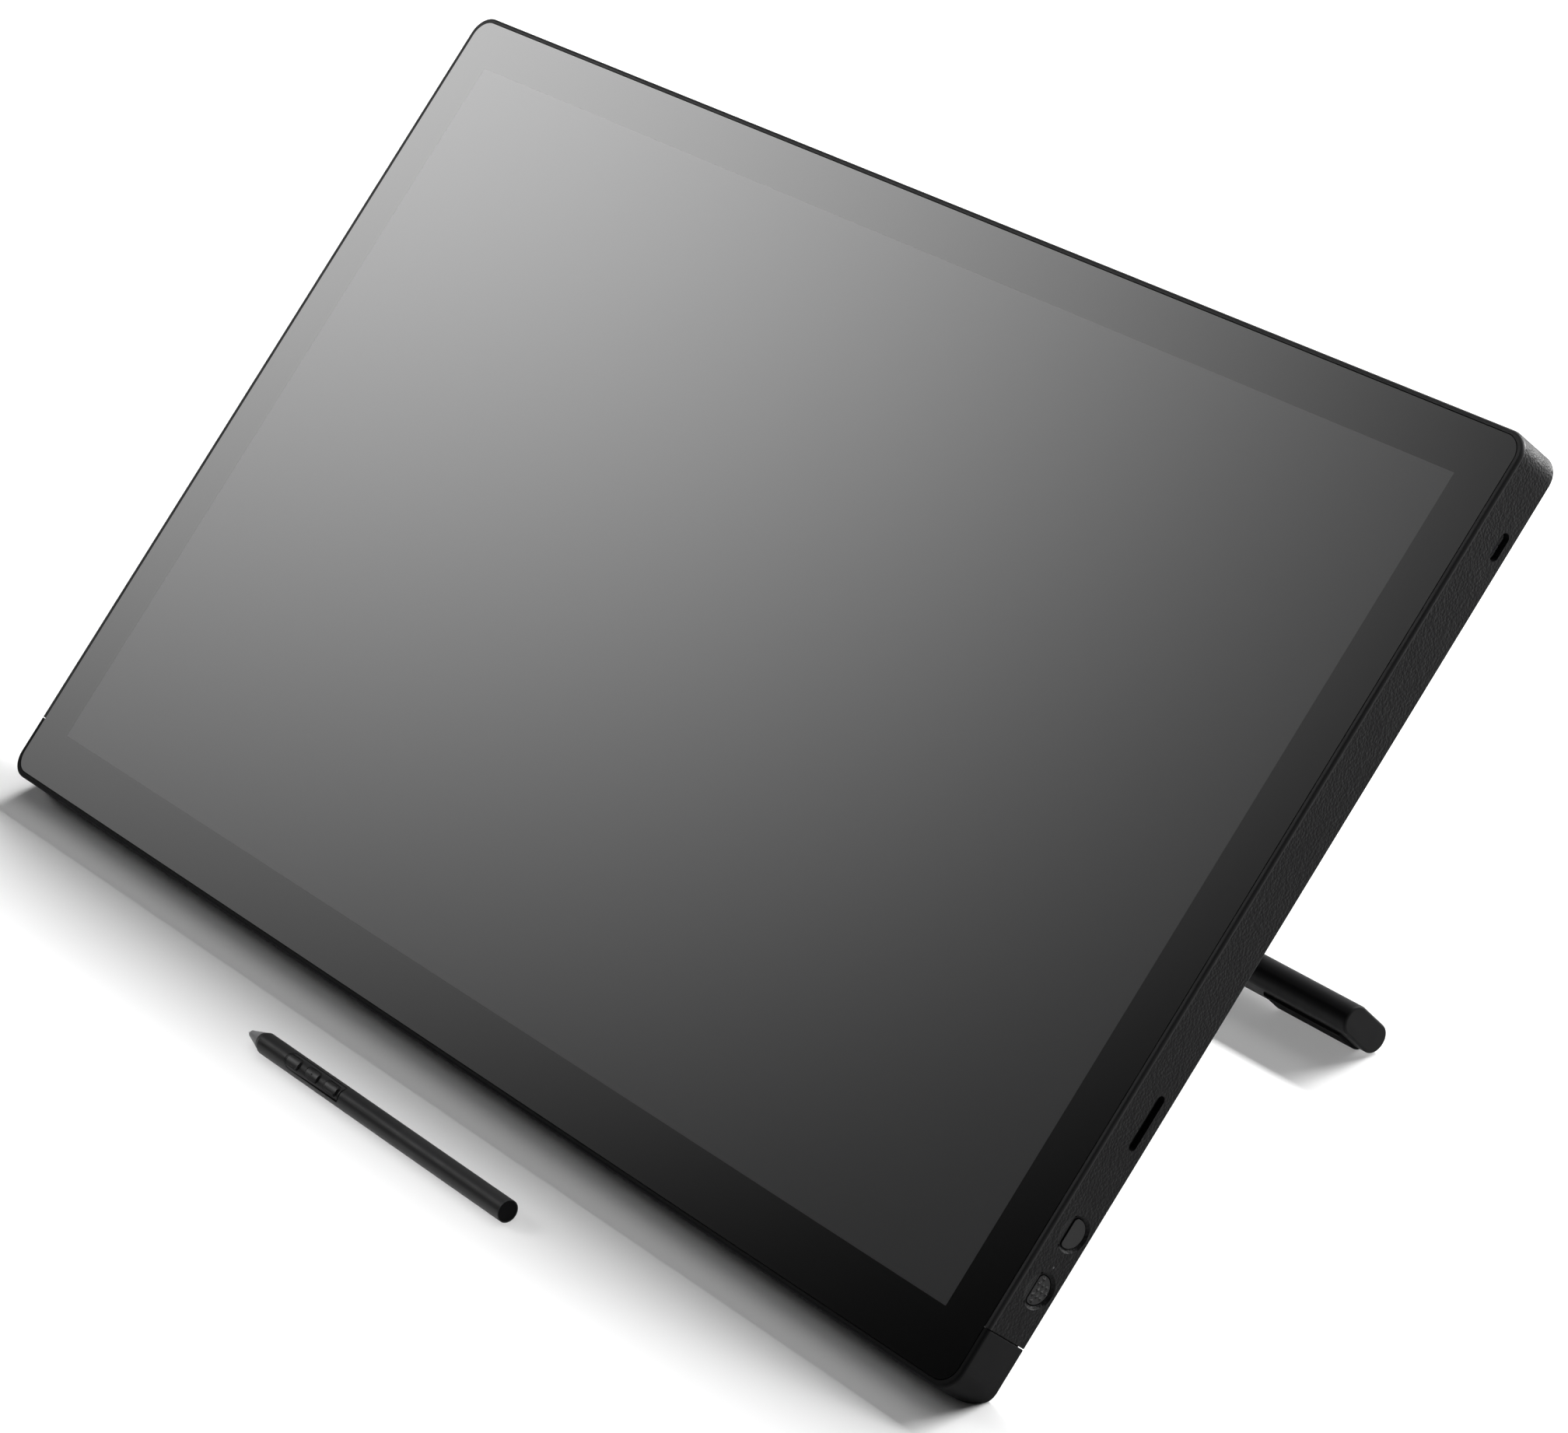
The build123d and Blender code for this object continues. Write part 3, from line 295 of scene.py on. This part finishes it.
def brushed(name, colour, roughness, stretch, **sockets):
    """Metal with fine drawn lines along one axis."""
    f = Finish(name, colour, roughness, Metallic=1.0, **sockets)
    lines = f.noise(size=0.0006, detail=3, stretch=stretch)
    f.link(f.spread(lines, roughness - 0.08, roughness + 0.1), f.shader.inputs["Roughness"])
    f.bump(lines, depth=0.00001, strength=0.5)
    f.vary_colour(size=0.01, amount=0.06)
    return f


def floor_finish():
    """Pale matt floor that brightens far from the object, where the lights no longer reach."""
    f = Finish("floor", (0.93, 0.93, 0.93), 0.9)
    distance = f.node("ShaderNodeVectorMath", operation="LENGTH")
    f.link(f.coordinates(), distance.inputs[0])
    far = f.spread(distance.outputs["Value"], 0.0, BACKDROP, *FLOOR_FADE)
    f.link(far, f.shader.inputs["Emission Strength"])
    f.shader.inputs["Emission Color"].default_value = (1, 1, 1, 1)
    return f


def lit_middle():
    """Middle of the lit area, measured up the screen from the frame's origin."""
    low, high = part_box("cover_glass")
    tilt = math.radians(TILT)
    bottom = low.y * math.cos(tilt) + low.z * math.sin(tilt)
    top = high.y * math.cos(tilt) + high.z * math.sin(tilt)
    return bottom + (top - bottom) * LIT_MIDDLE


def screen_glass():
    """Etched glass: black print round the edge, and the dark panel showing through in the middle."""
    f = Finish("screen_glass", PRINT_COLOUR, 0.12, Specular_IOR_Level=0.5)
    place = f.coordinates()
    tilt = math.radians(TILT)
    up = (0, math.cos(tilt), math.sin(tilt))
    inside = []
    for axis, middle, half in (((1, 0, 0), 0.0, LIT_HALF_W), (up, lit_middle(), LIT_HALF_H)):
        along = f.node("ShaderNodeVectorMath", operation="DOT_PRODUCT")
        f.link(place, along.inputs[0])
        along.inputs[1].default_value = axis
        offset = f.maths("SUBTRACT", along.outputs["Value"], middle)
        inside.append(f.maths("LESS_THAN", f.maths("ABSOLUTE", offset), half))
    lit = f.maths("MULTIPLY", inside[0], inside[1])
    f.tint(lit, PRINT_COLOUR, PANEL_COLOUR)
    f.bump(f.noise(size=0.00025), depth=0.000004, strength=0.4)
    return f


def circuit(name, mask):
    """Solder mask that looks lighter over the copper fields under it."""
    f = Finish(name, mask, 0.4)
    f.tint(f.spread(f.cells(COPPER_FIELD), 0, 1, 0.2, 0.4), tuple(0.65 * c for c in mask), mask)
    f.vary_roughness(size=0.004, low=0.35, high=0.45)
    f.bump(f.cells(COPPER_FIELD), depth=0.00004, strength=0.5)
    return f


# nodes whose finish differs from that of their slot
OWN_FINISH = {
    "pen_switch_front": "pen_switch_plastic",
    "pen_switch_middle": "pen_switch_plastic",
    "pen_switch_rear": "pen_switch_plastic",
    "pen_board": "pen_circuit_board",
}


def dress():
    finishes = {
        "cover_glass": screen_glass(),
        "panel_glass": satin("panel_glass", (0.012, 0.012, 0.014), 0.2),
        "backlight": satin("backlight", (0.7, 0.7, 0.7), 0.6),
        "foam_tape": moulded("foam_tape", (0.012, 0.012, 0.012), 0.9, 0.0005, 0.00005),
        "textured_plastic": moulded(
            "housing_plastic", (0.0035, 0.0035, 0.0037), 0.45, 0.0009, 0.0002, Specular_IOR_Level=0.08
        ),
        "rim_plastic": satin("rim_plastic", (0.012, 0.012, 0.0125), 0.45, Specular_IOR_Level=0.18),
        "rail_plastic": satin("rail_plastic", (0.0055, 0.0055, 0.0058), 0.5, Specular_IOR_Level=0.06),
        "button_plastic": satin("button_plastic", (0.0024, 0.0024, 0.0026), 0.36, Specular_IOR_Level=0.2),
        "stand_metal": satin("stand_paint", (0.0055, 0.0055, 0.006), 0.5, Specular_IOR_Level=0.12),
        "stand_cap": satin("stand_cap_plastic", (0.0058, 0.0058, 0.0061), 0.55, Specular_IOR_Level=0.08),
        "pad_rubber": moulded(
            "pad_rubber", (0.004, 0.004, 0.004), 0.8, 0.0004, 0.00003, Specular_IOR_Level=0.05
        ),
        "pen_plastic": satin("pen_plastic", (0.016, 0.016, 0.0165), 0.45, Specular_IOR_Level=0.22),
        # the tail's base colour is set lighter than the barrel's as a painted highlight, standing in for the
        # brighter light on the tail's top
        "pen_tail_plastic": satin("pen_tail_plastic", (0.020, 0.020, 0.0205), 0.45, Specular_IOR_Level=0.22),
        "pen_switch_plastic": satin(
            "pen_switch_plastic", (0.011, 0.011, 0.0113), 0.42, Specular_IOR_Level=0.28
        ),
        "pen_cap_plastic": satin("pen_cap_plastic", (0.003, 0.003, 0.0033), 0.5, Specular_IOR_Level=0.05),
        "cone_plastic": satin("cone_plastic", (0.2, 0.2, 0.205), 0.5),
        "nib_plastic": satin("nib_plastic", (0.9, 0.9, 0.91), 0.35, Subsurface_Weight=0.3),
        "circuit_board": circuit("circuit_board", (0.012, 0.07, 0.028)),
        "pen_circuit_board": circuit("pen_circuit_board", (0.006, 0.006, 0.0065)),
        "chip_plastic": satin("chip_plastic", (0.02, 0.02, 0.021), 0.5),
        "cable_film": satin("cable_film", (0.3, 0.12, 0.03), 0.35),
        "coil": brushed("coil", (0.4, 0.16, 0.07), 0.4, (0.05, 1, 1)),
        "screw_steel": brushed("screw_steel", (0.1, 0.1, 0.1), 0.4, (1, 1, 1)),
        "hinge_steel": brushed("hinge_steel", (0.07, 0.07, 0.074), 0.4, (0.05, 1, 1)),
        "connector_metal": brushed("connector_metal", (0.6, 0.6, 0.6), 0.3, (0.1, 1, 1)),
        "chassis_metal": brushed("chassis_metal", (0.5, 0.5, 0.5), 0.4, (0.05, 1, 1)),
        "light_pipe": satin("light_pipe", (0.08, 0.08, 0.085), 0.4, Specular_IOR_Level=0.2),
    }
    for name, obj in nodes.items():
        for slot in obj.material_slots:
            finish = OWN_FINISH.get(name, slot.material.name.split(".")[0])
            slot.material = finishes[finish].material


make_camera()
make_studio()
dress()
